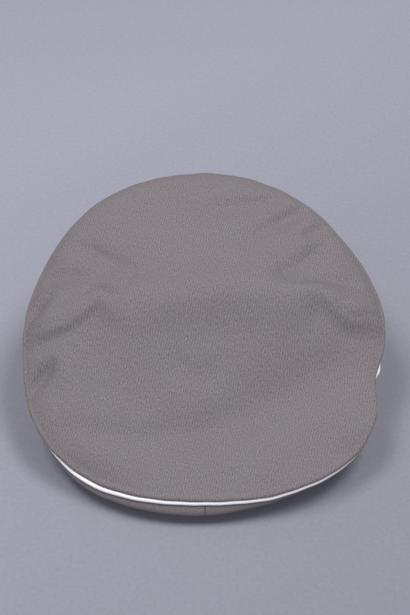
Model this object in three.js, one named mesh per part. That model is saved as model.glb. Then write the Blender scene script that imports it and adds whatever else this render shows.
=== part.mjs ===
// A peaked cap of soft cloth, lying on a table as it rests by itself.
// Millimetres. The table is z = 0, +Z is up and the peak points to -Y, so the wearer's left is +X.
// The cap rests on the lower edge of its peak and on the back of its band, so it leans back a little.
import * as THREE from "three";

// Cloth and clearances
const CLOTH = 1.6; // wall of the crown and the quarters
const GAP = 0.35; // between neighbouring pieces
const COLUMNS = 80; // sections round the cap
const CONTACT = 0.8; // how far the resting edges are pressed flat
const BOX_SHIFT = 5; // moves the finished cap so that the middle of its box is over the origin

// Crown: the outline of its edge in plan, a superellipse that is fuller at the back
const CROWN_HALF_WIDTH = 140.5;
const CROWN_FRONT_LENGTH = 136;
const CROWN_BACK_LENGTH = 127;
const FRONT_POWER = 2;
const BACK_POWER = 2.38;
const EDGE_ROLL = 2.2; // radius of the turned edge above the piping
const SIDE_FALL_POWER = 2.6; // how late the crown falls away from its middle to its sides
const CROWN_RINGS = [0.1, 0.2, 0.3, 0.4, 0.5, 0.59, 0.67, 0.75, 0.82, 0.88, 0.94, 1];

// A dent in the edge on the wearer's right, at an angle from the back
const DENT = { at: -79, spread: 9, depth: 8 };

// Heights of the crown's edges and of its middle above the table, from the front to the back
const CROWN_SECTIONS = [
  { y: -136, left: 125, middle: 125, right: 125 },
  { y: -110, left: 119, middle: 120.5, right: 112.5 },
  { y: -80, left: 104.5, middle: 114.5, right: 97 },
  { y: -50, left: 87, middle: 108.5, right: 86 },
  { y: -22, left: 78, middle: 102, right: 76 },
  { y: 8, left: 66, middle: 81.5, right: 63 },
  { y: 40, left: 49, middle: 59, right: 52 },
  { y: 64, left: 43.5, middle: 47.5, right: 46.5 },
  { y: 86, left: 38.5, middle: 44.5, right: 39 },
  { y: 106, left: 33, middle: 41.5, right: 38.5 },
  { y: 127, left: 34.8, middle: 34.8, right: 34.8 },
];

// Ridges (rise above 0) and furrows (below 0) in the crown's cloth, each from one point to another
const CROWN_FOLDS = [
  // the break across the crown, which two peaks lift on either side
  { x1: 140, y1: -7, x2: 96, y2: -13, width: 8, rise: 3 },
  { x1: 84, y1: -29, x2: 84, y2: -29, width: 12, rise: 4 },
  { x1: 84, y1: -28, x2: 57, y2: -10, width: 10, rise: 2 },
  { x1: 57, y1: -10, x2: -25, y2: -23, width: 14, rise: 2 },
  { x1: -25, y1: -23, x2: -61, y2: -18, width: 12, rise: 2 },
  { x1: -61, y1: -18, x2: -83, y2: -30, width: 10, rise: 2 },
  { x1: -83, y1: -30, x2: -83, y2: -30, width: 12, rise: 4 },
  { x1: -83, y1: -30, x2: -108, y2: -15, width: 9, rise: 2.5 },
  { x1: -108, y1: -16, x2: -140, y2: -19, width: 8, rise: 3 },
  // the creases under the break at both edges
  { x1: 140, y1: 2, x2: 98, y2: -4, width: 7, rise: -3.5 },
  { x1: -102, y1: -5, x2: -140, y2: -8, width: 7, rise: -3.5 },
  { x1: 139, y1: -21, x2: 122, y2: -28, width: 6, rise: -2 },
  { x1: 131, y1: 36, x2: 116, y2: 19, width: 7, rise: -3 },
  // the foot of the slope, where the crown runs out flat to the back
  { x1: -134, y1: 10, x2: -87, y2: 40, width: 14, rise: -2.5 },
  { x1: -87, y1: 40, x2: -22, y2: 69, width: 16, rise: -2 },
  { x1: -22, y1: 69, x2: 70, y2: 80, width: 18, rise: -1.5 },
  // slack wrinkles in the raised front
  { x1: -76, y1: -108, x2: -26, y2: -76, width: 7, rise: -1.4 },
  { x1: -92, y1: -80, x2: -58, y2: -50, width: 8, rise: -1.4 },
  { x1: 100, y1: -74, x2: 54, y2: -52, width: 8, rise: -1.4 },
  { x1: 128, y1: -56, x2: 88, y2: -51, width: 7, rise: -1.4 },
];

// Piping: a covered cord under the turned edge; it shows at the back and is tucked in at the sides
const PIPING_RADIUS = 1.75;
const PIPING_SIDES = 6;
const PIPING_SECTIONS = [
  { at: -180, inset: 0.8 },
  { at: -120, inset: 2 },
  { at: -75, inset: 2.9 },
  { at: -45, inset: 1.6 },
  { at: -20, inset: 0.4 },
  { at: 0, inset: 0.3 },
  { at: 45, inset: 0.4 },
  { at: 75, inset: 2.9 },
  { at: 120, inset: 2 },
  { at: 180, inset: 0.8 },
];

// Quarters: how each section leaves the band (out, up) and how it hangs below the piping (in, down)
const QUARTER_SECTIONS = [
  { at: -180, out: 9, up: 16, in: 6, down: 14 },
  { at: -130, out: 16, up: 4, in: 8, down: 8 },
  { at: -85, out: 20, up: -2, in: 12, down: 5 },
  { at: -40, out: 14, up: -16, in: 4, down: 6 },
  { at: 0, out: 16, up: -28, in: -1, down: 18 },
  { at: 45, out: 15, up: -22, in: 1, down: 10 },
  { at: 85, out: 20, up: -3, in: 12, down: 6 },
  { at: 130, out: 16, up: 4, in: 8, down: 8 },
  { at: 180, out: 9, up: 16, in: 6, down: 14 },
];
const QUARTER_STEPS = 9;
const SEAM_HALF_ANGLE = 0.12; // degrees left open on each side of a seam between quarters
const LIP = { inset: 0.9, reach: 1.6 }; // the quarter's lower edge lies on the top of the band

// Band: an oval wall for a head about 570 round
const BAND_HALF_WIDTH = 82;
const BAND_HALF_LENGTH = 101;
const BAND_HEIGHT = 36;
const BAND_WALL = 3;
const BAND_ROWS = 3;

// Peak: a stiff crescent that slopes down from the front of the band
const PEAK_LENGTH = 48;
const PEAK_SLOPE = THREE.MathUtils.degToRad(41);
const PEAK_HALF_ANGLE = 63;
const PEAK_FULLNESS = 0.7;
const PEAK_THICKNESS = 2.2;
const PEAK_COLUMNS = 32;
const PEAK_STEPS = 4;
const PEAK_TUCK = 1.5; // how far its root lies under the wall of the band

// Lean of the cap at rest: both the edge of the peak and the back of the band touch the table
const PEAK_REACH = BAND_HALF_LENGTH - PEAK_TUCK + PEAK_LENGTH * Math.cos(PEAK_SLOPE);
const PEAK_DEPTH = GAP + PEAK_LENGTH * Math.sin(PEAK_SLOPE) + PEAK_THICKNESS * Math.cos(PEAK_SLOPE);
const REST_LEAN = Math.atan2(PEAK_DEPTH, PEAK_REACH + BAND_HALF_LENGTH);

const CLOTH_MATERIAL = new THREE.MeshStandardMaterial({ color: 0x867f84, roughness: 0.92, metalness: 0 });
const PIPING_MATERIAL = new THREE.MeshStandardMaterial({ color: 0xf1eff2, roughness: 0.85, metalness: 0 });
const PEAK_MATERIAL = new THREE.MeshStandardMaterial({ color: 0x1d1c1e, roughness: 0.35, metalness: 0 });

const radians = THREE.MathUtils.degToRad;

// Value of a column at a place along a table's rows, on a smooth curve through them.
function along(rows, placeColumn, valueColumn, place) {
  const last = rows.length - 1;
  const at = (i) => rows[i][placeColumn];
  const value = (i) => rows[i][valueColumn];
  const slope = (i) => {
    const before = Math.max(i - 1, 0);
    const after = Math.min(i + 1, last);
    return (value(after) - value(before)) / (at(after) - at(before));
  };
  const clamped = THREE.MathUtils.clamp(place, at(0), at(last));
  let i = 0;
  while (i < last - 1 && clamped > at(i + 1)) i += 1;
  const span = at(i + 1) - at(i);
  const t = (clamped - at(i)) / span;
  const ease = t * t * (3 - 2 * t);
  const leave = t * (1 - t) * (1 - t) * span * slope(i);
  const arrive = t * t * (t - 1) * span * slope(i + 1);
  return value(i) + (value(i + 1) - value(i)) * ease + leave + arrive;
}

// Angle in degrees, from -180 to 180, with 0 at the back and the wearer's left positive.
function fromBack(degrees) {
  return THREE.MathUtils.euclideanModulo(degrees + 180, 360) - 180;
}

// Length of the crown in plan from its middle to its back or its front.
function crownLength(y) {
  return y > 0 ? CROWN_BACK_LENGTH : CROWN_FRONT_LENGTH;
}

// Plan radius of the crown's edge.
function edgeRadius(degrees) {
  const s = Math.abs(Math.sin(radians(degrees)));
  const c = Math.cos(radians(degrees));
  const fullness = THREE.MathUtils.clamp(0.5 + 0.9 * c, 0, 1);
  const power = THREE.MathUtils.lerp(FRONT_POWER, BACK_POWER, fullness);
  const sum = (s / CROWN_HALF_WIDTH) ** power + Math.abs(c / crownLength(c)) ** power;
  const offDent = fromBack(degrees - DENT.at) / DENT.spread;
  return sum ** (-1 / power) - DENT.depth * Math.exp(-offDent * offDent);
}

// Height that the folds add at a point: a bell across each fold's line, round its ends.
function foldRise(x, y) {
  let total = 0;
  for (const fold of CROWN_FOLDS) {
    const dx = fold.x2 - fold.x1;
    const dy = fold.y2 - fold.y1;
    const length2 = dx * dx + dy * dy || 1;
    const share = THREE.MathUtils.clamp(((x - fold.x1) * dx + (y - fold.y1) * dy) / length2, 0, 1);
    const off = Math.hypot(x - fold.x1 - share * dx, y - fold.y1 - share * dy) / fold.width;
    total += fold.rise * Math.exp(-off * off);
  }
  return total;
}

// Height of the cross section through (x, y), before the folds.
function sectionHeight(x, y) {
  const middle = along(CROWN_SECTIONS, "y", "middle", y);
  const side = along(CROWN_SECTIONS, "y", x > 0 ? "left" : "right", y);
  const halfWidth = CROWN_HALF_WIDTH * Math.sqrt(Math.max(1 - (y / crownLength(y)) ** 2, 1e-4));
  const share = Math.min(Math.abs(x) / halfWidth, 1.05);
  return middle + (side - middle) * share ** SIDE_FALL_POWER;
}

// Height of the crown at a share of the way from its middle to its edge.
function crownHeight(degrees, share) {
  const radius = edgeRadius(degrees);
  const x = radius * Math.sin(radians(degrees));
  const y = radius * Math.cos(radians(degrees));
  const edge = along(CROWN_SECTIONS, "y", x > 0 ? "left" : "right", y);
  const correction = (edge - sectionHeight(x, y)) * share ** 4;
  return sectionHeight(x * share, y * share) + correction + foldRise(x * share, y * share);
}

// Point in the vertical plane through the cap's middle at an angle from the back.
function polar(degrees, radius, z) {
  return new THREE.Vector3(radius * Math.sin(radians(degrees)), radius * Math.cos(radians(degrees)), z);
}

// Point given level with the band's lower edge, after the cap leans back onto the table.
function leaned(x, y, z) {
  const lean = z * Math.cos(REST_LEAN) + (BAND_HALF_LENGTH - y) * Math.sin(REST_LEAN);
  const rest = lean - CONTACT;
  return new THREE.Vector3(x, y * Math.cos(REST_LEAN) + z * Math.sin(REST_LEAN), Math.max(rest, 0));
}

// Closed body through a row of sections, each a ring of points; an open row has its two ends capped.
function body(sections, joined) {
  const positions = [];
  const indices = [];
  const known = new Map();
  const index = (p) => {
    const key = [p.x, p.y, p.z].map((value) => value.toFixed(4)).join();
    if (!known.has(key)) {
      known.set(key, known.size);
      positions.push(p.x, p.y, p.z);
    }
    return known.get(key);
  };
  const triangle = (a, b, c) => {
    const corners = [a, b, c].map(index);
    if (new Set(corners).size === 3) indices.push(...corners);
  };
  const quad = (a, b, c, d) => {
    triangle(a, b, c);
    triangle(a, c, d);
  };
  const count = sections[0].length;
  const spans = joined ? sections.length : sections.length - 1;
  for (let i = 0; i < spans; i += 1) {
    const here = sections[i];
    const next = sections[(i + 1) % sections.length];
    for (let k = 0; k < count; k += 1) {
      const m = (k + 1) % count;
      quad(here[k], next[k], next[m], here[m]);
    }
  }
  if (!joined) {
    const first = sections[0];
    const final = sections[sections.length - 1];
    for (let k = 0; k < count / 2 - 1; k += 1) {
      quad(first[k], first[k + 1], first[count - 2 - k], first[count - 1 - k]);
      quad(final[k + 1], final[k], final[count - 1 - k], final[count - 2 - k]);
    }
  }
  const geometry = new THREE.BufferGeometry();
  geometry.setAttribute("position", new THREE.Float32BufferAttribute(positions, 3));
  geometry.setIndex(indices);
  geometry.computeVertexNormals();
  return geometry;
}

function mesh(name, geometry, material) {
  const piece = new THREE.Mesh(geometry, material);
  piece.name = name;
  return piece;
}

const columnAngles = Array.from({ length: COLUMNS }, (_, i) => (360 * i) / COLUMNS);

// Height of the widest point of the crown's turned edge.
function edgeHeight(degrees) {
  return crownHeight(degrees, 1) - EDGE_ROLL;
}

// Crown top: the upper face, the turned edge and the under face, from the middle out and back.
function crownTop() {
  const innerRoll = EDGE_ROLL - CLOTH;
  const outerTurn = [60, 30, 0, -30];
  const innerTurn = [-30, 30];
  const sections = columnAngles.map((degrees) => {
    const flatRadius = edgeRadius(degrees) - EDGE_ROLL;
    const turn = (angle, radius) =>
      polar(
        degrees,
        flatRadius + radius * Math.cos(radians(angle)),
        edgeHeight(degrees) + radius * Math.sin(radians(angle)),
      );
    const upper = CROWN_RINGS.map((share) => polar(degrees, flatRadius * share, crownHeight(degrees, share)));
    const under = CROWN_RINGS.map((share) => polar(degrees, flatRadius * share, crownHeight(degrees, share) - CLOTH));
    const middle = crownHeight(degrees, 0);
    return [
      new THREE.Vector3(0, 0, middle),
      ...upper,
      ...outerTurn.map((angle) => turn(angle, EDGE_ROLL)),
      ...innerTurn.map((angle) => turn(angle, innerRoll)),
      ...under.reverse(),
      new THREE.Vector3(0, 0, middle - CLOTH),
    ];
  });
  return mesh("crown_top", body(sections, true), CLOTH_MATERIAL);
}

// Middle of the piping cord, as a radius and a height.
function pipingCentre(degrees) {
  const inset = along(PIPING_SECTIONS, "at", "inset", fromBack(degrees));
  const drop = EDGE_ROLL * Math.sin(radians(30)) + GAP + PIPING_RADIUS;
  return { radius: edgeRadius(degrees) - inset, z: edgeHeight(degrees) - drop };
}

function piping() {
  const sections = columnAngles.map((degrees) => {
    const centre = pipingCentre(degrees);
    return Array.from({ length: PIPING_SIDES }, (_, k) => {
      const turn = Math.PI / 2 - (2 * Math.PI * k) / PIPING_SIDES;
      return polar(
        degrees,
        centre.radius + PIPING_RADIUS * Math.cos(turn),
        centre.z + PIPING_RADIUS * Math.sin(turn),
      );
    });
  });
  return mesh("piping", body(sections, true), PIPING_MATERIAL);
}

// Point on the band's wall: depth is measured inwards from its outer face.
function bandPoint(degrees, depth, height) {
  const x = (BAND_HALF_WIDTH - depth) * Math.sin(radians(degrees));
  const y = (BAND_HALF_LENGTH - depth) * Math.cos(radians(degrees));
  return leaned(x, y, height);
}

function band() {
  const heights = Array.from({ length: BAND_ROWS }, (_, k) => BAND_HEIGHT * (1 - k / (BAND_ROWS - 1)));
  const sections = columnAngles.map((degrees) => [
    ...heights.map((height) => bandPoint(degrees, 0, height)),
    ...heights.toReversed().map((height) => bandPoint(degrees, BAND_WALL, height)),
  ]);
  return mesh("band", body(sections, true), CLOTH_MATERIAL);
}

// Section of a quarter at an angle: a wall of even thickness along a curve from the piping to the band.
function quarterSection(degrees) {
  const place = fromBack(degrees);
  const shape = (column) => along(QUARTER_SECTIONS, "at", column, place);
  const foot = bandPoint(degrees, LIP.inset, BAND_HEIGHT);
  const centre = pipingCentre(degrees);
  const head = polar(degrees, centre.radius, centre.z - PIPING_RADIUS - GAP);
  const outward = new THREE.Vector3(head.x - foot.x, head.y - foot.y, 0);
  const reach = outward.length();
  outward.normalize();
  const lipHeight = foot.z + CLOTH / 2 + GAP;
  const start = new THREE.Vector2(LIP.inset + LIP.reach, lipHeight);
  const end = new THREE.Vector2(reach, head.z);
  const curve = new THREE.CubicBezierCurve(
    end,
    end.clone().add(new THREE.Vector2(-shape("in"), -shape("down"))),
    start.clone().add(new THREE.Vector2(shape("out"), shape("up"))),
    start,
  );
  const path = [...curve.getPoints(QUARTER_STEPS), new THREE.Vector2(0, lipHeight)];
  const offset = (side) =>
    path.map((p, k) => {
      const before = k === 0 ? p.clone().setY(p.y + 1) : path[k - 1];
      const after = k === 0 ? p : path[Math.min(k + 1, path.length - 1)];
      const heading = after.clone().sub(before).normalize();
      const h = p.x - (side * heading.y * CLOTH) / 2;
      const z = p.y + (side * heading.x * CLOTH) / 2;
      return foot.clone().addScaledVector(outward, h).setZ(z);
    });
  return [...offset(1), ...offset(-1).reverse()];
}

function quarter(name, startDegrees) {
  const columns = COLUMNS / 4;
  const span = 90 - 2 * SEAM_HALF_ANGLE;
  const sections = Array.from({ length: columns + 1 }, (_, i) =>
    quarterSection(startDegrees + SEAM_HALF_ANGLE + (span * i) / columns),
  );
  return mesh(name, body(sections, false), CLOTH_MATERIAL);
}

// Peak: sections from its root under the band to its edge, widest at the front.
function peak() {
  const sections = Array.from({ length: PEAK_COLUMNS + 1 }, (_, i) => {
    const across = (2 * i) / PEAK_COLUMNS - 1;
    const degrees = 180 + across * PEAK_HALF_ANGLE;
    const length = PEAK_LENGTH * Math.max(Math.cos((across * Math.PI) / 2), 0.02) ** PEAK_FULLNESS;
    const outward = new THREE.Vector2(
      Math.sin(radians(degrees)) / BAND_HALF_WIDTH,
      Math.cos(radians(degrees)) / BAND_HALF_LENGTH,
    ).normalize();
    const root = new THREE.Vector2(
      (BAND_HALF_WIDTH - PEAK_TUCK) * Math.sin(radians(degrees)),
      (BAND_HALF_LENGTH - PEAK_TUCK) * Math.cos(radians(degrees)),
    );
    const point = (share, depth) => {
      const run = length * share * Math.cos(PEAK_SLOPE) - depth * Math.sin(PEAK_SLOPE);
      const fall = GAP + length * share * Math.sin(PEAK_SLOPE) + depth * Math.cos(PEAK_SLOPE);
      return leaned(root.x + outward.x * run, root.y + outward.y * run, -fall);
    };
    const shares = Array.from({ length: PEAK_STEPS + 1 }, (_, k) => k / PEAK_STEPS);
    return [
      ...shares.map((share) => point(share, 0)),
      ...shares.toReversed().map((share) => point(share, PEAK_THICKNESS)),
    ];
  });
  return mesh("peak", body(sections, false), PEAK_MATERIAL);
}

const cap = new THREE.Group();
cap.position.y = BOX_SHIFT;
cap.add(
  crownTop(),
  piping(),
  quarter("quarter_back_left", 0),
  quarter("quarter_front_left", 90),
  quarter("quarter_front_right", 180),
  quarter("quarter_back_right", 270),
  band(),
  peak(),
);

export default cap;
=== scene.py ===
# %% [markdown]
# # A soft peaked cap, seen from behind
# The cap lies on a table with its peak away from us. What shows is the wide crown, slack enough to
# break into folds, the white piping under its edge and a little of the quarters below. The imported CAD
# model gives the places of all the pieces. Every piece below is the same form with the fine shape and
# the cloth that the CAD model leaves out.

# %% The frame
import math

import bpy
import numpy as np
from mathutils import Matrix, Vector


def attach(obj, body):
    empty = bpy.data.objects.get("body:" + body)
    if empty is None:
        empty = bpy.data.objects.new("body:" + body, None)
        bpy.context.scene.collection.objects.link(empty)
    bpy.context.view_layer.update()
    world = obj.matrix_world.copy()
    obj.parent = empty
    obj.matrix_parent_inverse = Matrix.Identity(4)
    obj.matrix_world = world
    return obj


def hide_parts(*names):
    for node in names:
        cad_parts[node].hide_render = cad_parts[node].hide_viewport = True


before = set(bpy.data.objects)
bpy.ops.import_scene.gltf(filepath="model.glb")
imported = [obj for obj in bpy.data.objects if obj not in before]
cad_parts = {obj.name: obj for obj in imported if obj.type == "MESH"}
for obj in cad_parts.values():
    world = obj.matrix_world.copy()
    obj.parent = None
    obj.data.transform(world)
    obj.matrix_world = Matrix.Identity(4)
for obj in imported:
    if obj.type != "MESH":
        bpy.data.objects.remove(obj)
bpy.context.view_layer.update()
MM = 0.001
BOX_SHIFT = 5.0  # the forms below are drawn round the crown's middle, 5 mm behind that of the box
print("frame:", sorted(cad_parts))

# %% [markdown]
# ## Camera
# The photograph was taken with a long lens from behind the cap and above it. A camera could be aimed
# with a constraint, but here its place, its tilt and its focal length in pixels were solved from the
# outline of the crown, so they are simply written down.

# %% Camera
PHOTO_HEIGHT = 615
FOCAL_PIXELS = 1548
SENSOR_MM = 36
CAMERA_AT = (0.0, 818.4 + BOX_SHIFT, 937.6)
CAMERA_DOWN = math.radians(45.41)

lens = bpy.data.cameras.new("photo_camera")
lens.sensor_fit = "VERTICAL"
lens.sensor_height = SENSOR_MM
lens.lens = SENSOR_MM * FOCAL_PIXELS / PHOTO_HEIGHT
camera = bpy.data.objects.new("photo_camera", lens)
camera.location = [MM * value for value in CAMERA_AT]
camera.rotation_euler = (math.pi / 2 - CAMERA_DOWN, 0, math.pi)
bpy.context.collection.objects.link(camera)
bpy.context.scene.camera = camera
print(f"camera: {lens.lens:.1f} mm lens, {math.degrees(CAMERA_DOWN):.1f} degrees down")

# %% [markdown]
# ## Helpers
# Three small tools serve every piece: colours are read off as sRGB hex and turned to the linear light
# that the renderer counts in; one function adds a node to a material; and one function turns a grid of
# points into a mesh. Grids are worked out as whole arrays, which is quick and keeps each shape one
# formula.

# %% Colour and node helpers
def linear(code):
    """Linear colour of an sRGB hex code: the sRGB curve undone on each channel, with alpha 1."""
    srgb = np.array([int(code[i : i + 2], 16) for i in (0, 2, 4)]) / 255
    light = np.where(srgb <= 0.04045, srgb / 12.92, ((srgb + 0.055) / 1.055) ** 2.4)
    return (*light.tolist(), 1.0)


def add(tree, kind, sockets=(), **settings):
    """A new node: settings are its properties, sockets its inputs by name, each a value or a link."""
    made = tree.nodes.new("ShaderNode" + kind)
    for name, value in settings.items():
        setattr(made, name, value)
    for name, value in dict(sockets).items():
        if isinstance(value, bpy.types.NodeSocket):
            tree.links.new(value, made.inputs[name])
        else:
            made.inputs[name].default_value = value
    return made


def new_material(name):
    """An empty node material, its tree and the node that it ends in."""
    material = bpy.data.materials.new(name)
    material.use_nodes = True
    material.node_tree.nodes.clear()
    return material, material.node_tree, add(material.node_tree, "OutputMaterial")


# %% Surface helper
def surface(name, points, uv, join_columns=False, join_rows=False, pole=None, cap_ends=False):
    """Object through a grid of points in mm: one quad between each four neighbours.

    join_columns and join_rows close the grid on itself; uv then has one more column or row than points.
    pole is a point and its uv that closes the first row. cap_ends closes a tube's two open ends.
    """
    rows, columns = points.shape[:2]
    row = np.arange(rows if join_rows else rows - 1)
    column = np.arange(columns if join_columns else columns - 1)
    row, column = np.meshgrid(row, column, indexing="ij")
    at_row = np.stack([row, row, row + 1, row + 1], -1).reshape(-1, 4)
    at_column = np.stack([column, column + 1, column + 1, column], -1).reshape(-1, 4)
    places = points.reshape(-1, 3)
    faces = ((at_row % rows) * columns + at_column % columns).tolist()
    corners = uv[at_row, at_column].reshape(-1, 2)
    if pole is not None:
        first = np.arange(columns)
        after = (first + 1) % columns
        fan = np.stack([np.full(columns, len(places)), after, first], -1)
        places = np.vstack([places, pole[0]])
        faces += fan.tolist()
        tips = np.stack([np.broadcast_to(pole[1], (columns, 2)), uv[0, after], uv[0, first]], 1)
        corners = np.vstack([corners, tips.reshape(-1, 2)])
    if cap_ends:
        ring = np.arange(rows)
        ends = [ring[::-1] * columns, ring * columns + columns - 1]
        faces += [end.tolist() for end in ends]
        corners = np.vstack([corners, uv[ring[::-1], 0], uv[ring, columns - 1]])
    mesh = bpy.data.meshes.new(name)
    mesh.from_pydata(((places + [0, BOX_SHIFT, 0]) * MM).tolist(), [], faces)
    layer = mesh.uv_layers.new(name="cloth_mm")
    layer.uv.foreach_set("vector", corners.astype(np.float32).ravel())
    mesh.polygons.foreach_set("use_smooth", np.ones(len(mesh.polygons), bool))
    mesh.update()
    piece = bpy.data.objects.new(name, mesh)
    bpy.context.collection.objects.link(piece)
    return piece


def thicken(piece, millimetres, offset):
    """Gives a sheet its wall: offset -1 puts it inside the surface and 0 half to each side."""
    wall = piece.modifiers.new("wall", "SOLIDIFY")
    wall.thickness = millimetres * MM
    wall.offset = offset
    wall.use_even_offset = True


def dress(piece, node, material):
    """Puts a finished piece in the place of its CAD node, with its material."""
    piece.data.materials.append(material)
    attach(piece, "root")
    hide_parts(node)
    print(f"{piece.name}: {len(piece.data.vertices)} points for {node}")


# %% [markdown]
# ## Table and light
# The cap lies on seamless blue-grey paper between two soft studio lights. A sun would draw one hard
# shadow; the real ones are two soft lobes that meet in a dark pool under the back edge, so a broad
# panel hangs high on each side. Three weak panels on the camera's side and a pale sky fill the rest.
# The light on the paper falls off towards the camera and to the right. A light could be shaped to do that,
# but it would also shade the cap, so that falloff is painted light: the paper's tone is graded darker along
# it.

# %% Paper
FLOOR_HALF = 4000.0
FLOOR_DROP = 0.2
PAPER_GRAIN = 320.0
# painted light falloff: the paper's tone is graded along this direction, in metres, from light to dark
PAINTED_FALLOFF_ALONG = (-0.65, 1, 0)
PAINTED_FALLOFF_FROM, PAINTED_FALLOFF_TO = -0.42, 0.4
# factors on the paper's tone at the lit and at the shaded end of the painted falloff
PAINTED_LIT_TONE, PAINTED_SHADE_TONE = 1.02, 0.63

paper, tree, end = new_material("seamless_paper")
place = add(tree, "TexCoord").outputs["Object"]
grain = add(tree, "TexNoise", {"Vector": place, "Scale": PAPER_GRAIN, "Detail": 4.0, "Roughness": 0.6})
tone = add(tree, "ValToRGB", {"Fac": grain.outputs["Fac"]})
tone.color_ramp.elements[0].color = linear("8f909c")
tone.color_ramp.elements[1].color = linear("a4a5b1")
rough = add(tree, "Bump", {"Height": grain.outputs["Fac"], "Strength": 0.1, "Distance": 0.0002})
# painted light: the paper is darkened along this direction in place of the lights' falloff
falloff_distance = add(tree, "VectorMath", {0: place, 1: PAINTED_FALLOFF_ALONG}, operation="DOT_PRODUCT").outputs["Value"]
painted_falloff = add(tree, "MapRange", {
    "Value": falloff_distance,
    "From Min": PAINTED_FALLOFF_FROM,
    "From Max": PAINTED_FALLOFF_TO,
    "To Min": PAINTED_LIT_TONE,
    "To Max": PAINTED_SHADE_TONE,
})
painted_paper = add(tree, "HueSaturation", {"Color": tone.outputs["Color"], "Value": painted_falloff.outputs["Result"]})
matt = add(tree, "BsdfPrincipled", {
    "Base Color": painted_paper.outputs["Color"],
    "Roughness": 0.85,
    "Normal": rough.outputs["Normal"],
})
tree.links.new(matt.outputs["BSDF"], end.inputs["Surface"])

side = np.array([-FLOOR_HALF, FLOOR_HALF])
floor_points = np.stack([*np.meshgrid(side, side), np.full((2, 2), -FLOOR_DROP)], -1)
floor = surface("paper_floor", floor_points, floor_points[..., :2])
floor.data.materials.append(paper)
print("floor:", FLOOR_HALF * 2 * MM, "m of paper")

# %% Lights
# name, place, the point aimed at, width, length, watts and colour
LIGHTS = (
    ("right_strip_light", (-640, 130, 2000), (0, 0, 40), 850, 560, 22.6, "fffdfb"),
    ("left_strip_light", (640, 130, 2000), (0, 0, 40), 850, 560, 20.6, "fffdfb"),
    ("right_fill_light", (-1300, 1100, 750), (0, 100, 0), 1000, 600, 3.4, "f8f9ff"),
    ("left_fill_light", (1300, 1100, 750), (0, 100, 0), 1000, 600, 3.4, "f8f9ff"),
    ("back_fill_light", (0, 1500, 700), (0, 100, 0), 1000, 500, 1.8, "f8f9ff"),
)
SKY_STRENGTH = 0.34


def panel(name, at, aim, width, length, watts, colour):
    """A rectangular area light at a place in mm, aimed at a point."""
    lamp = bpy.data.lights.new(name, "AREA")
    lamp.shape = "RECTANGLE"
    lamp.size = width * MM
    lamp.size_y = length * MM
    lamp.energy = watts
    lamp.color = linear(colour)[:3]
    made = bpy.data.objects.new(name, lamp)
    made.location = [value * MM for value in at]
    towards = Vector(aim) * MM - made.location
    made.rotation_euler = towards.to_track_quat("-Z", "Y").to_euler()
    bpy.context.collection.objects.link(made)
    print(f"{name}: {watts} W")


for light in LIGHTS:
    panel(*light)

sky = bpy.data.worlds.new("studio_room")
sky.use_nodes = True
glow = sky.node_tree.nodes["Background"]
glow.inputs["Color"].default_value = linear("f0f3ff")
glow.inputs["Strength"].default_value = SKY_STRENGTH
bpy.context.scene.world = sky
bpy.context.scene.view_settings.view_transform = "Standard"

# %% [markdown]
# ## The crown's form
# The crown is one slack disc of cloth, high over the front and low at the back. A cloth simulation
# could let it fall, but the folds of this one cap are wanted. So its height is written as cross
# sections from the front to the back. A shoulder lifts the cloth just inside the seam, each fold adds
# a bell across a drawn line, and faint waves keep the rest from looking ironed. The edge is dented in
# plan where the seam is pulled in, and the back sags towards the table. Angles are counted from the
# back, and the wearer's left is positive.

# %% Form of the crown
CLOTH = 1.6
GAP = 0.35
CROWN_HALF_WIDTH = 140.5
CROWN_FRONT_LENGTH = 136.0
CROWN_BACK_LENGTH = 127.0
FRONT_POWER = 2.0
BACK_POWER = 2.38
POWER_BLEND = 0.9
EDGE_ROLL = 2.2
SIDE_FALL_POWER = 2.6
SIDE_FALL_LIMIT = 1.05
NARROWEST = 1e-4
EDGE_MEET_POWER = 4
SHOULDER_POWER = 2

# angle from the back, then how wide and how deep the outline is dented there
EDGE_DENTS = ((-79, 9, 8), (42, 16, 3))

# y, then the heights of the left edge, the middle and the right edge
CROWN_SECTIONS = np.array([
    (-136, 125, 125, 125),
    (-110, 119, 120.5, 112.5),
    (-80, 104.5, 114.5, 97),
    (-50, 87, 108.5, 86),
    (-22, 78, 102, 76),
    (8, 66, 81.5, 63),
    (40, 49, 59, 52),
    (64, 43.5, 47.5, 46.5),
    (86, 38.5, 44.5, 39),
    (106, 33, 41.5, 38.5),
    (127, 34.8, 34.8, 34.8),
])

# angle from the back, then how far the cloth stands over the seam, and how far in from it
SHOULDER_SECTIONS = np.array([
    (-180, 4, 6),
    (-130, 6, 10),
    (-105, 5, 12),
    (-75, 1.2, 6),
    (-30, 0.6, 5),
    (20, 0.8, 6),
    (52, 7, 15),
    (70, 10, 16),
    (85, 8, 18),
    (130, 6, 8),
    (180, 4, 6),
])

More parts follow.
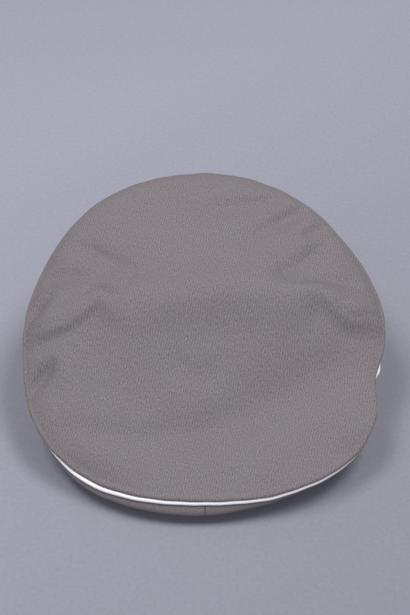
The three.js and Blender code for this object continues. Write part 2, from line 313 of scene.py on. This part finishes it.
# Each fold is a line from the wearer's left to the right: x, y, its rise (a furrow's is below 0), and how
# wide it runs out towards the front and towards the back.
CROWN_FOLDS = {
    "break across the crown": [
        (146, 1, 2, 20, 6), (134, 0, 5.4, 20, 4), (123, 0, 7.6, 20, 3), (112, -2, 7.2, 20, 3),
        (101, -6, 6.2, 18, 3), (91, -12, 5.2, 16, 3.5), (83, -18, 5, 13, 5), (77, -14, 4.8, 14, 6),
        (70, -9, 4.6, 17, 8), (61, -6, 4.6, 22, 11), (50, -5, 4.8, 24, 14), (40, -9, 5.2, 25, 14),
        (27, -13, 5.8, 27, 14), (4, -16, 6.2, 28, 14), (-23, -19, 6.6, 28, 13), (-44, -18, 6.6, 26, 15),
        (-58, -17, 6.6, 22, 16), (-68, -18, 7, 18, 14), (-75, -22, 7.5, 15, 12), (-83, -24, 8, 14, 10),
        (-91, -22, 8, 14, 8), (-99, -17, 8, 16, 6), (-106, -11, 8.5, 18, 5), (-116, -9, 9, 20, 5),
        (-128, -12, 7.5, 20, 6), (-146, -19, 3, 20, 9),
    ],
    "crease under the break, left": [
        (146, 2, -1.2, 3, 10), (127, 0, -2, 3, 10), (115, -3, -2, 3, 10), (104, -6, -1.4, 3, 10),
        (94, -9, 0, 4, 10),
    ],
    "crease under the break, right": [
        (-99, -16, 0, 6, 18), (-107, -11, -2.6, 5, 20), (-116, -9, -4, 5, 20), (-128, -12, -4, 5, 20),
        (-146, -18, -2.4, 5, 18),
    ],
    "foot of the slope": [
        (122, 62, 0, 12, 18), (95, 72, -2.8, 11, 18), (60, 76, -3.4, 11, 20), (32, 75, -5, 12, 20),
        (4, 69, -5.6, 13, 20), (-25, 57, -5.4, 14, 20), (-50, 45, -6.8, 17, 20),
        (-75, 31, -7.8, 17, 22), (-97, 21, -6, 13, 22), (-118, 12, -2.4, 10, 20), (-136, 6, 0, 9, 18),
    ],
    "faint crease in the slope": [
        (34, 15, 0, 4, 10), (23, 21, -0.8, 4, 10), (4, 27, -1.2, 4, 10), (-7, 23, -1.2, 4, 10),
        (-20, 9, 0, 4, 10),
    ],
    "dimple at the left edge": [
        (142, 42, 0, 4, 7), (135, 35, -3, 4, 7), (129, 29, -7.5, 4, 7), (123, 23, -7.5, 4, 7),
        (116, 17, 0, 4, 7),
    ],
    "furrow at the left edge": [
        (146, -4, -1, 4, 6), (136, -16, -4.5, 4, 6), (129, -24, -5.5, 4, 6), (118, -34, 0, 4, 6),
    ],
    "arc over the left peak": [
        (96, -23, 0, 3, 3), (89, -27.5, -3.4, 3, 3), (83, -29.5, -4.4, 3, 3), (75, -26, -3.2, 3, 3),
        (67, -20, 0, 3, 3),
    ],
    "long wrinkle, front right": [
        (12, -98, 0, 5, 12), (-8, -101, -2.8, 5, 12), (-36, -106, -4.2, 5, 12),
        (-54, -110, -3.4, 5, 12), (-70, -114, 0, 5, 9),
    ],
    "deep wrinkle, front right": [
        (-22, -66, 0, 6, 12), (-40, -77, -3.2, 6, 12), (-56, -89, -5.4, 5, 11), (-70, -99, -6, 5, 9),
        (-79, -105, -3.8, 5, 7), (-88, -109, 0, 5, 6),
    ],
    "lower wrinkle, front right": [
        (-50, -32, 0, 6, 12), (-62, -42, -3.4, 6, 12), (-77, -54, -5.4, 6, 12), (-92, -70, -4.8, 6, 12),
        (-106, -84, 0, 6, 10),
    ],
    "short wrinkle, front right": [
        (-76, -76, 0, 4, 8), (-84, -83, -3.4, 4, 8), (-93, -90, -3.6, 4, 8), (-102, -94, 0, 4, 7),
    ],
    "wrinkle over the right peak": [
        (-66, -27, 0, 5, 7), (-76, -33, -2.8, 5, 7), (-91, -39, -3.6, 5, 7), (-109, -41, -3.2, 5, 7),
        (-126, -40, 0, 5, 6),
    ],
    "slanting wrinkle, front left": [
        (112, -76, 0, 6, 9), (100, -69, -2.4, 6, 9), (82, -60, -5, 6, 9), (62, -48, -4, 7, 10),
        (31, -38, -1.8, 8, 10), (6, -33, 0, 8, 10),
    ],
    "level wrinkle, front left": [
        (131, -47, 0, 5, 8), (120, -47, -3, 5, 8), (106, -45, -3.4, 5, 8), (84, -42, -2, 5, 8),
        (68, -40, 0, 5, 8),
    ],
}
FOLD_POINTS = 8
FOLD_SIDE_BLEND = 1.5
# towards the front the seam holds the folds down: a power of the share, and the angles where that sets in
SEAM_HOLD = 26
HOLD_FROM, HOLD_RUN = 95, 20
SAG_FROM = 42.0
SAG_DEPTH = 7.5
SLACK_RISE = 0.14
SLACK_SHIFT = 7
# length and direction of each wave
SLACK_WAVES = ((19, 0.3), (27, 1.4), (23, 2.3), (37, 0.9), (31, 2.9))
TWO_PI = 2 * math.pi


def along(table, column, place):
    """A table's column at a place in its first column: cubics whose slopes are those between neighbours."""
    at, value = table[:, 0], table[:, column]
    before = np.maximum(np.arange(len(at)) - 1, 0)
    after = np.minimum(np.arange(len(at)) + 1, len(at) - 1)
    slope = (value[after] - value[before]) / (at[after] - at[before])
    place = np.clip(place, at[0], at[-1])
    row = np.clip(np.searchsorted(at, place, side="left") - 1, 0, len(at) - 2)
    span = at[row + 1] - at[row]
    way = (place - at[row]) / span
    ease = value[row] + (value[row + 1] - value[row]) * way * way * (3 - 2 * way)
    return ease + span * (slope[row] * way * (1 - way) ** 2 + slope[row + 1] * way * way * (way - 1))


def from_back(degrees):
    """The same angle between -180 and 180."""
    return (degrees + 180) % 360 - 180


def crown_length(y):
    """Length of the crown in plan from its middle to its back or its front."""
    return np.where(y > 0, CROWN_BACK_LENGTH, CROWN_FRONT_LENGTH)


def edge_radius(degrees):
    """Plan radius of the edge: a superellipse, fuller at the back, less a bell for each dent."""
    sine, cosine = np.abs(np.sin(np.radians(degrees))), np.cos(np.radians(degrees))
    power = FRONT_POWER + (BACK_POWER - FRONT_POWER) * np.clip(0.5 + POWER_BLEND * cosine, 0, 1)
    total = (sine / CROWN_HALF_WIDTH) ** power + np.abs(cosine / crown_length(cosine)) ** power
    dents = sum(deep * np.exp(-((from_back(degrees - at) / wide) ** 2)) for at, wide, deep in EDGE_DENTS)
    return total ** (-1 / power) - dents


def fold_lines(folds):
    """Every fold as a smooth line of close points: each column is a cubic through its rows."""
    for rows in folds.values():
        table = np.column_stack([np.arange(len(rows)), rows])
        steps = np.linspace(0, len(rows) - 1, (len(rows) - 1) * FOLD_POINTS + 1)
        yield np.stack([along(table, column, steps) for column in range(1, 6)])


def fold_rise(x, y):
    """Height that the folds add: at the nearest point of each line, its rise times a bell of the distance.

    The bell is as wide as the fold runs out on that side of the line.
    """
    total = np.zeros(np.broadcast(x, y).shape)
    for line_x, line_y, rise, front, back in fold_lines(CROWN_FOLDS):
        away = (x[..., None] - line_x) ** 2 + (y[..., None] - line_y) ** 2
        near = away.argmin(-1)
        ahead_x, ahead_y = np.gradient(line_x)[near], np.gradient(line_y)[near]
        across = (y - line_y[near]) * ahead_x - (x - line_x[near]) * ahead_y
        across = across / np.hypot(ahead_x, ahead_y)
        side = 0.5 + 0.5 * np.tanh(across / FOLD_SIDE_BLEND)
        width = back[near] + (front[near] - back[near]) * side
        total += rise[near] * np.exp(-away.min(-1) / width**2)
    return total


def slack(x, y):
    """Slight unevenness of loose cloth: sine waves of a few lengths that run in different directions."""
    waves = []
    for length, way in SLACK_WAVES:
        distance = x * math.cos(way) + y * math.sin(way)
        waves.append(np.sin(distance * TWO_PI / length + way * SLACK_SHIFT))
    return SLACK_RISE * sum(waves)


def section_height(x, y):
    """Height of the section at y: its middle, and towards the side a power of the share of the half width."""
    middle = along(CROWN_SECTIONS, 2, y)
    side = np.where(x > 0, along(CROWN_SECTIONS, 1, y), along(CROWN_SECTIONS, 3, y))
    half = CROWN_HALF_WIDTH * np.sqrt(np.maximum(1 - (y / crown_length(y)) ** 2, NARROWEST))
    return middle + (side - middle) * np.minimum(np.abs(x) / half, SIDE_FALL_LIMIT) ** SIDE_FALL_POWER


def crown_height(degrees, share):
    """Height at a share of the way to the edge: the section, met to the edge's own height, and the folds.

    The shoulder is a rise that fades out towards the seam, and the slack is laid over it all.
    """
    radius = edge_radius(degrees)
    x, y = radius * np.sin(np.radians(degrees)), radius * np.cos(np.radians(degrees))
    edge = np.where(x > 0, along(CROWN_SECTIONS, 1, y), along(CROWN_SECTIONS, 3, y))
    met = (edge - section_height(x, y)) * share**EDGE_MEET_POWER
    rise, reach = (along(SHOULDER_SECTIONS, column, from_back(degrees)) for column in (1, 2))
    shoulder = rise * share**SHOULDER_POWER * (1 - np.exp(-radius * (1 - share) / reach))
    held = np.clip((np.abs(from_back(degrees)) - HOLD_FROM) / HOLD_RUN, 0, 1)
    free = 1 - share**SEAM_HOLD * held
    folds = fold_rise(x * share, y * share) * free
    return section_height(x * share, y * share) + met + shoulder + folds + slack(x * share, y * share)


def polar(degrees, radius, z):
    """Point at an angle from the back, a plan radius and a height."""
    turn = np.radians(degrees)
    return np.stack(np.broadcast_arrays(radius * np.sin(turn), radius * np.cos(turn), z), -1)


def sagged(points):
    """Points with the back hung: from SAG_FROM to the back edge they sink and draw in, eased at both ends."""
    way = np.clip((points[..., 1] - SAG_FROM) / (CROWN_BACK_LENGTH - SAG_FROM), 0, 1)
    drop = SAG_DEPTH * way * way * (3 - 2 * way)
    return points - drop[..., None] * np.array([0, 1, 1])


def edge_height(degrees):
    """Height of the widest point of the turned edge."""
    return crown_height(degrees, 1) - EDGE_ROLL


back_height, front_height = edge_height(0.0), edge_height(180.0)
print(f"crown: {2 * CROWN_HALF_WIDTH:.0f} mm wide, edge from {back_height:.0f} to {front_height:.0f} mm")

# %% [markdown]
# ## Wool twill
# The cap is cut from a warm grey wool twill: fine slanting ribs, brushed so that they blur, of wool
# dyed before it was spun, so each thread is a slightly different grey. A picture of cloth could be
# tiled over it. Here noise draws the threads, half of it stretched along the ribs, and two sets of
# sines add the ribs and the weft that crosses them, all in the cloth's own millimetres, so nothing
# repeats. The cloth is rough with a faint sheen, which keeps the steep parts from going dark. Ribs of
# two millimetres are drawn, because the real ones, about one apart, would be lost in the render.

# %% Wool twill
RIB_MM = 1.9
RIB_DEPTH = 0.045
CROSSING_DEPTH = 0.015
CROSSING_DEGREES = 42
DASH_MM = 0.7
YARN_MM = 0.6
STITCH_STRETCH = 0.4
DRIFT_MM = 10.0
DRIFT_TURN = 12.0
PATCH_MM = 50.0
PATCH_FROM, PATCH_TO = 0.45, 0.7
DARK_AT, PALE_AT = 0.3, 0.7


def wool_twill(name, lean_degrees):
    """Twill whose ribs lean by an angle from the length of the cloth."""
    material, tree, end = new_material(name)
    place = add(tree, "UVMap", uv_map="cloth_mm").outputs["UV"]
    lean = (0, 0, math.radians(lean_degrees))
    turned = add(tree, "Mapping", {"Vector": place, "Rotation": lean}).outputs["Vector"]
    along_ribs = add(tree, "Mapping", {"Vector": turned, "Scale": (1, STITCH_STRETCH, 1)}).outputs["Vector"]
    drift = add(tree, "TexNoise", {"Vector": place, "Scale": 1 / DRIFT_MM, "Detail": 3.0})
    swing = {0: drift.outputs["Fac"], 1: DRIFT_TURN}
    wander = add(tree, "Math", swing, operation="MULTIPLY").outputs["Value"]
    fine = {"Detail": 2.0, "Roughness": 0.6}
    dash = add(tree, "TexNoise", {"Vector": along_ribs, "Scale": 1 / DASH_MM, **fine})
    yarn = add(tree, "TexNoise", {"Vector": place, "Scale": 1 / YARN_MM, **fine})
    cloud = add(tree, "TexNoise", {"Vector": place, "Scale": 1 / PATCH_MM, "Detail": 2.0})

    weave = add(tree, "Mix", {0: 0.5, 2: yarn.outputs["Fac"], 3: dash.outputs["Fac"]}).outputs[0]
    for angle, deep in ((lean_degrees, RIB_DEPTH), (lean_degrees - CROSSING_DEGREES, CROSSING_DEPTH)):
        lean = (0, 0, math.radians(angle))
        across = add(tree, "Mapping", {"Vector": place, "Rotation": lean}).outputs["Vector"]
        axis = add(tree, "SeparateXYZ", {"Vector": across}).outputs["X"]
        turns = add(tree, "Math", {0: axis, 1: TWO_PI / RIB_MM, 2: wander}, operation="MULTIPLY_ADD")
        rib = add(tree, "Math", {0: turns.outputs["Value"]}, operation="SINE").outputs["Value"]
        weave = add(tree, "Math", {0: rib, 1: deep, 2: weave}, operation="MULTIPLY_ADD").outputs["Value"]
    shade = add(tree, "ValToRGB", {"Fac": weave})
    shade.color_ramp.elements[0].position = DARK_AT
    shade.color_ramp.elements[0].color = linear("4d494b")
    shade.color_ramp.elements[1].position = PALE_AT
    shade.color_ramp.elements[1].color = linear("8e888b")
    patch = add(tree, "MapRange", {
        "Value": cloud.outputs["Fac"],
        "From Min": PATCH_FROM,
        "From Max": PATCH_TO,
    })
    worn = add(tree, "MixRGB", {
        "Fac": patch.outputs["Result"],
        "Color1": shade.outputs["Color"],
        "Color2": linear("fffafc"),
    }, blend_type="MULTIPLY")
    bump = add(tree, "Bump", {"Height": weave, "Strength": 0.25, "Distance": 0.0005})
    wool = add(tree, "BsdfPrincipled", {
        "Base Color": worn.outputs["Color"],
        "Roughness": 0.95,
        "Specular IOR Level": 0.25,
        "Sheen Weight": 0.08,
        "Sheen Roughness": 0.5,
        "Sheen Tint": linear("d8d2d6"),
        "Normal": bump.outputs["Normal"],
    })
    tree.links.new(wool.outputs["BSDF"], end.inputs["Surface"])
    return material


CROWN_LEAN, QUARTER_LEAN = 13, 0
crown_twill = wool_twill("wool_twill_crown", CROWN_LEAN)
quarter_twill = wool_twill("wool_twill_quarters", QUARTER_LEAN)
print("twill:", RIB_MM, "mm ribs")

# %% [markdown]
# ## Crown top
# The cloth runs from the middle to the edge, turns over it and ends in the seam with the piping.
# Rings and spokes follow that edge all round, so the turned edge is just the last rows of the same
# grid. The wall is then given inwards.

# %% Crown top
CROWN_COLUMNS = 440
CROWN_RINGS = 96
EDGE_STEPS = 9
EDGE_TOP, EDGE_END = 90, -30

spokes = np.arange(CROWN_COLUMNS) * 360 / CROWN_COLUMNS
shares = np.linspace(0, 1, CROWN_RINGS + 1)[1:, None]
flat_radius = edge_radius(spokes) - EDGE_ROLL
upper = polar(spokes, flat_radius * shares, crown_height(spokes[None], shares))
turn = np.radians(np.linspace(EDGE_TOP, EDGE_END, EDGE_STEPS + 1)[1:, None])
turn_out, turn_up = EDGE_ROLL * np.cos(turn), EDGE_ROLL * np.sin(turn)
turned_edge = polar(spokes, flat_radius + turn_out, edge_height(spokes) + turn_up)
crown_points = np.concatenate([upper, turned_edge])
crown_uv = crown_points[..., :2]
crown_uv = np.concatenate([crown_uv, crown_uv[:, :1]], 1)
middle = np.array([0, 0, crown_height(np.array(0.0), np.array(0.0))])
pole = (middle, middle[:2])
crown = surface("crown_top_cloth", sagged(crown_points), crown_uv, join_columns=True, pole=pole)
thicken(crown, CLOTH, -1)
dress(crown, "crown_top", crown_twill)

# %% [markdown]
# ## Piping
# A cord covered in white cloth is sewn into the seam under the crown's edge. It follows the edge, out
# in view at the back, tucked in at the sides, and glimpsed once where the edge is dented. A curve with
# a bevel would do, but a circle carried round the edge as one grid also gives the cover its own
# millimetres to be woven in.

# %% White piping cloth
piping_cloth, tree, end = new_material("white_piping_cloth")
place = add(tree, "UVMap", uv_map="cloth_mm").outputs["UV"]
slub = add(tree, "TexNoise", {"Vector": place, "Scale": 0.8, "Detail": 3.0})
tone = add(tree, "ValToRGB", {"Fac": slub.outputs["Fac"]})
tone.color_ramp.elements[0].color = linear("e6e3e8")
tone.color_ramp.elements[1].color = linear("faf9fc")
weave_bump = add(tree, "Bump", {"Height": slub.outputs["Fac"], "Strength": 0.3, "Distance": 0.0002})
cover = add(tree, "BsdfPrincipled", {
    "Base Color": tone.outputs["Color"],
    "Roughness": 0.85,
    "Sheen Weight": 0.2,
    "Normal": weave_bump.outputs["Normal"],
})
tree.links.new(cover.outputs["BSDF"], end.inputs["Surface"])

# %% Piping
PIPING_RADIUS = 1.75
PIPING_SIDES = 14
PIPING_COLUMNS = 720
# angle from the back, then how far the cord's middle lies inside the edge
PIPING_SECTIONS = np.array([
    (-180, 0.8),
    (-120, 2),
    (-90, 2.9),
    (-86, 2),
    (-83, 0.4),
    (-80, 2),
    (-75, 2.9),
    (-55, 2.9),
    (-44, 1.9),
    (-25, 1.3),
    (-10, 1),
    (5, 0.8),
    (25, 0.2),
    (40, -0.3),
    (50, 1.2),
    (58, 2.9),
    (75, 2.9),
    (120, 2),
    (180, 0.8),
])


def piping_centre(degrees):
    """Plan radius and height of the cord's middle, just under the turned edge."""
    inset = along(PIPING_SECTIONS, 1, from_back(degrees))
    drop = EDGE_ROLL / 2 + GAP + PIPING_RADIUS
    return edge_radius(degrees) - inset, edge_height(degrees) - drop


cord_angles = np.arange(PIPING_COLUMNS) * 360 / PIPING_COLUMNS
cord_radius, cord_z = piping_centre(cord_angles)
around = np.radians(90 - np.arange(PIPING_SIDES) * 360 / PIPING_SIDES)[:, None]
cord_out, cord_up = PIPING_RADIUS * np.cos(around), PIPING_RADIUS * np.sin(around)
cord_points = polar(cord_angles, cord_radius + cord_out, cord_z + cord_up)
cord_uv = np.stack(np.meshgrid(
    np.linspace(0, TWO_PI * CROWN_HALF_WIDTH, PIPING_COLUMNS + 1),
    np.linspace(0, TWO_PI * PIPING_RADIUS, PIPING_SIDES + 1),
), -1)
piping = surface("piping_cord", sagged(cord_points), cord_uv, join_columns=True, join_rows=True)
dress(piping, "piping", piping_cloth)

# %% [markdown]
# ## Band
# The band is an oval wall that fits the head. The cap rests on its peak and on the back of the band,
# so the band leans, and its back is pressed lower by the slack crown. A tube could be bent to that
# form, but its profile, a tall rounded strip, is simply carried round the oval.

# %% Band
BAND_HALF_WIDTH = 82.0
BAND_HALF_LENGTH = 101.0
BAND_HEIGHT = 36.0
BAND_WALL = 3.0
BAND_ROUNDING = 1.2
BAND_SINK = 8.5
SINK_POWER = 1.5
BAND_COLUMNS = 320
CONTACT = 0.8  # how far the lowest edges are pressed flat on the table
PEAK_LENGTH = 48.0
PEAK_SLOPE = math.radians(41)
PEAK_THICKNESS = 2.2
PEAK_TUCK = 1.5
PEAK_REACH = BAND_HALF_LENGTH - PEAK_TUCK + PEAK_LENGTH * math.cos(PEAK_SLOPE)
PEAK_DEPTH = GAP + PEAK_LENGTH * math.sin(PEAK_SLOPE) + PEAK_THICKNESS * math.cos(PEAK_SLOPE)
REST_LEAN = math.atan2(PEAK_DEPTH, PEAK_REACH + BAND_HALF_LENGTH)


def leaned(x, y, z):
    """A point given level with the band's lower edge, once the cap leans back onto the table."""
    back = y * math.cos(REST_LEAN) + z * math.sin(REST_LEAN)
    rest = z * math.cos(REST_LEAN) + (BAND_HALF_LENGTH - y) * math.sin(REST_LEAN) - CONTACT
    return np.stack(np.broadcast_arrays(x, back, np.maximum(rest, 0)), -1)


def band_point(degrees, depth, height):
    """A point of the band's wall, at a depth inwards from its outer face; the back is pressed lower."""
    turn = np.radians(degrees)
    x = (BAND_HALF_WIDTH - depth) * np.sin(turn)
    y = (BAND_HALF_LENGTH - depth) * np.cos(turn)
    pressed = height * (1 - BAND_SINK / BAND_HEIGHT * np.maximum(np.cos(turn), 0) ** SINK_POWER)
    return leaned(x, y, pressed)


def rounded_strip(height, wall, radius, steps=5, face_steps=12):
    """Closed profile as depth and height: straight faces and quarter circles at the four corners."""
    arc = np.linspace(0, math.pi / 2, steps + 1)
    rise = np.linspace(height - radius, radius, face_steps + 1)
    lower = np.stack([radius - radius * np.cos(arc), radius - radius * np.sin(arc)], -1)
    outer = np.concatenate([np.stack([np.zeros_like(rise), rise], -1), lower[1:]])
    inner = np.stack([wall - outer[::-1, 0], outer[::-1, 1]], -1)
    upper = np.stack([radius - radius * np.sin(arc), height - radius + radius * np.cos(arc)], -1)
    upper_inner = np.stack([wall - upper[::-1, 0], upper[::-1, 1]], -1)
    return np.concatenate([outer, inner, upper_inner[1:], upper[:-1]])


band_profile = rounded_strip(BAND_HEIGHT, BAND_WALL, BAND_ROUNDING)
band_angles = np.arange(BAND_COLUMNS) * 360 / BAND_COLUMNS
band_points = band_point(band_angles, band_profile[:, :1], band_profile[:, 1:])
band_round = TWO_PI * (BAND_HALF_WIDTH + BAND_HALF_LENGTH) / 2
profile_loop = np.concatenate([band_profile, band_profile[:1]])
profile_length = np.concatenate([[0], np.cumsum(np.hypot(*np.diff(profile_loop, axis=0).T))])
band_uv = np.stack(np.meshgrid(np.linspace(0, band_round, BAND_COLUMNS + 1), profile_length), -1)
band = surface("band_cloth", band_points, band_uv, join_columns=True, join_rows=True)
dress(band, "band", quarter_twill)

# %% [markdown]
# ## Quarters
# Four pieces of cloth join the band to the piping, with a seam at the front, at the back and at each
# side. They could be lofted between two curves, but each section is one cubic that leaves the band,
# swells and comes back under the piping, so the swell can be set all round. At a seam the two cloths
# dip a little and end a hair apart, which draws the seam.

# %% Quarters
QUARTER_COLUMNS = 110
QUARTER_ROWS = 44
SEAM_HALF_ANGLE = 0.07
SEAM_DEPTH, SEAM_WIDTH = 0.1, 1.2
SEAM_FADE = 3
LIP_INSET, LIP_REACH = 0.9, 1.6
HEAD_DROP = 0.7
# angle from the back, then how each section leaves the band (out, up) and the piping (in, down)
QUARTER_SECTIONS = np.array([
    (-180, 9, 16, 6, 14),
    (-130, 16, 4, 8, 8),
    (-85, 20, -2, 12, 5),
    (-40, 14, -16, 5, 6),
    (-20, 15, -21, -3, 4.8),
    (0, 16, -26, -7, 6.2),
    (24, 16, -25, -10, 8.6),
    (45, 15, -21, -8, 7.4),
    (85, 20, -3, 12, 6),
    (130, 16, 4, 8, 8),
    (180, 9, 16, 6, 14),
])


def quarter_points(degrees, seam_angles):
    """Middle of the quarter's wall: a cubic from below the piping to the lip on the band, sunk at seams.

    Where the piping climbs, the cloth starts lower under it, so that it stays clear of the cord.
    """
    place = from_back(degrees)
    out, up, hang_in, down = (along(QUARTER_SECTIONS, column, place) for column in (1, 2, 3, 4))
    foot = band_point(degrees, LIP_INSET, BAND_HEIGHT)
    radius, z = piping_centre(degrees)
    steepness = np.gradient(z) / (np.gradient(np.radians(degrees)) * radius)
    drop = (PIPING_RADIUS + GAP + HEAD_DROP) * np.hypot(1, steepness)
    head = sagged(polar(degrees, radius, z - drop))
    outward = head[:, :2] - foot[:, :2]
    reach = np.hypot(*outward.T)
    outward = outward / reach[:, None]
    lip_height = foot[:, 2] + CLOTH / 2 + GAP
    start = np.stack([np.full_like(reach, LIP_INSET + LIP_REACH), lip_height], -1)
    finish = np.stack([reach, head[:, 2]], -1)
    near_finish = finish - np.stack([hang_in, down], -1)
    near_start = start + np.stack([out, up], -1)
    way = np.linspace(0, 1, QUARTER_ROWS)[:, None, None]
    curve = (1 - way) ** 3 * finish + 3 * way * (1 - way) ** 2 * near_finish
    curve = curve + 3 * way * way * (1 - way) * near_start + way**3 * start
    lip = np.stack([np.zeros_like(reach), lip_height], -1)[None]
    curve = np.concatenate([curve, lip])
    heading = np.gradient(curve, axis=0)
    heading = heading / np.linalg.norm(heading, axis=-1, keepdims=True)
    away = np.radians(np.abs(degrees[:, None] - seam_angles).min(1)) * np.hypot(head[:, 0], head[:, 1])
    fade = np.clip(np.sin(np.linspace(0, math.pi, QUARTER_ROWS + 1)) * SEAM_FADE, 0, 1)[:, None]
    sink = SEAM_DEPTH * np.exp(-((away / SEAM_WIDTH) ** 2)) * fade
    distance = curve[..., 0] + sink * heading[..., 1]
    height = curve[..., 1] - sink * heading[..., 0]
    plan = foot[None, :, :2] + outward[None] * distance[..., None]
    return np.concatenate([plan, height[..., None]], -1)


# name of each quarter and the angles of its two seams
QUARTERS = (
    ("back_left", 0, 90),
    ("front_left", 90, 180),
    ("front_right", 180, 270),
    ("back_right", 270, 360),
)
for name, first_seam, last_seam in QUARTERS:
    span = np.linspace(first_seam + SEAM_HALF_ANGLE, last_seam - SEAM_HALF_ANGLE, QUARTER_COLUMNS)
    points = quarter_points(span, np.array([first_seam, last_seam]))
    steps = np.linalg.norm(np.diff(points, axis=0), axis=-1).mean(1)
    run = np.concatenate([[0], np.cumsum(steps)])
    width = np.radians(span - span[0]) * CROWN_HALF_WIDTH
    uv = np.stack(np.meshgrid(width, run), -1)
    piece = surface(f"quarter_{name}_cloth", points, uv)
    thicken(piece, CLOTH, 0)
    dress(piece, f"quarter_{name}", quarter_twill)

# %% [markdown]
# ## Peak
# The peak is a stiff crescent of black polished leather that slopes down from the front of the band.
# It could be cut from a cone, but carrying its section, thin with a rounded outer edge, from one end
# to the other lets the length fade away towards the ends. It is hidden in the photograph, so it is
# kept plain.

# %% Polished leather
leather, tree, end = new_material("polished_black_leather")
place = add(tree, "TexCoord").outputs["Object"]
pores = add(tree, "TexVoronoi", {"Vector": place, "Scale": 1400.0})
bloom = add(tree, "TexNoise", {"Vector": place, "Scale": 60.0, "Detail": 4.0})
tone = add(tree, "ValToRGB", {"Fac": bloom.outputs["Fac"]})
tone.color_ramp.elements[0].color = linear("151416")
tone.color_ramp.elements[1].color = linear("242225")
gloss = add(tree, "MapRange", {"Value": bloom.outputs["Fac"], "To Min": 0.24, "To Max": 0.42})
grain = add(tree, "Bump", {"Height": pores.outputs["Distance"], "Strength": 0.12, "Distance": 0.0002})
hide = add(tree, "BsdfPrincipled", {
    "Base Color": tone.outputs["Color"],
    "Roughness": gloss.outputs["Result"],
    "Coat Weight": 0.5,
    "Coat Roughness": 0.15,
    "Normal": grain.outputs["Normal"],
})
tree.links.new(hide.outputs["BSDF"], end.inputs["Surface"])

# %% Peak
PEAK_HALF_ANGLE = 63.0
PEAK_FULLNESS = 0.7
PEAK_END_SHARE = 0.02
PEAK_HALF_SPAN = 100.0
PEAK_COLUMNS = 160
PEAK_STEPS = 24
NOSE_STEPS = 9

across = np.linspace(-1, 1, PEAK_COLUMNS + 1)
peak_angles = 180 + across * PEAK_HALF_ANGLE
peak_turn = np.radians(peak_angles)
lengths = PEAK_LENGTH * np.maximum(np.cos(across * math.pi / 2), PEAK_END_SHARE) ** PEAK_FULLNESS
normal = np.stack([np.sin(peak_turn) / BAND_HALF_WIDTH, np.cos(peak_turn) / BAND_HALF_LENGTH], -1)
normal = normal / np.linalg.norm(normal, axis=-1, keepdims=True)
root = np.stack([
    (BAND_HALF_WIDTH - PEAK_TUCK) * np.sin(peak_turn),
    (BAND_HALF_LENGTH - PEAK_TUCK) * np.cos(peak_turn),
], -1)
half = PEAK_THICKNESS / 2
nose = np.linspace(-math.pi / 2, math.pi / 2, NOSE_STEPS + 2)[1:-1]
straight = np.linspace(0, 1, PEAK_STEPS + 1)
level = np.zeros(PEAK_STEPS + 1)
share = np.concatenate([straight, np.ones(NOSE_STEPS), straight[::-1]])
nose_out = np.concatenate([level, half * np.cos(nose), level])
depth = np.concatenate([level, half + half * np.sin(nose), level + PEAK_THICKNESS])
reach = share[:, None] * np.maximum(lengths - half, 0) + nose_out[:, None]
run = reach * math.cos(PEAK_SLOPE) - depth[:, None] * math.sin(PEAK_SLOPE)
fall = GAP + reach * math.sin(PEAK_SLOPE) + depth[:, None] * math.cos(PEAK_SLOPE)
peak_points = leaned(root[:, 0] + normal[:, 0] * run, root[:, 1] + normal[:, 1] * run, -fall)
peak_uv = np.stack(np.meshgrid(across * PEAK_HALF_SPAN, np.arange(len(share) + 1.0)), -1)
peak = surface("peak_leather", peak_points, peak_uv, join_rows=True, cap_ends=True)
dress(peak, "peak", leather)
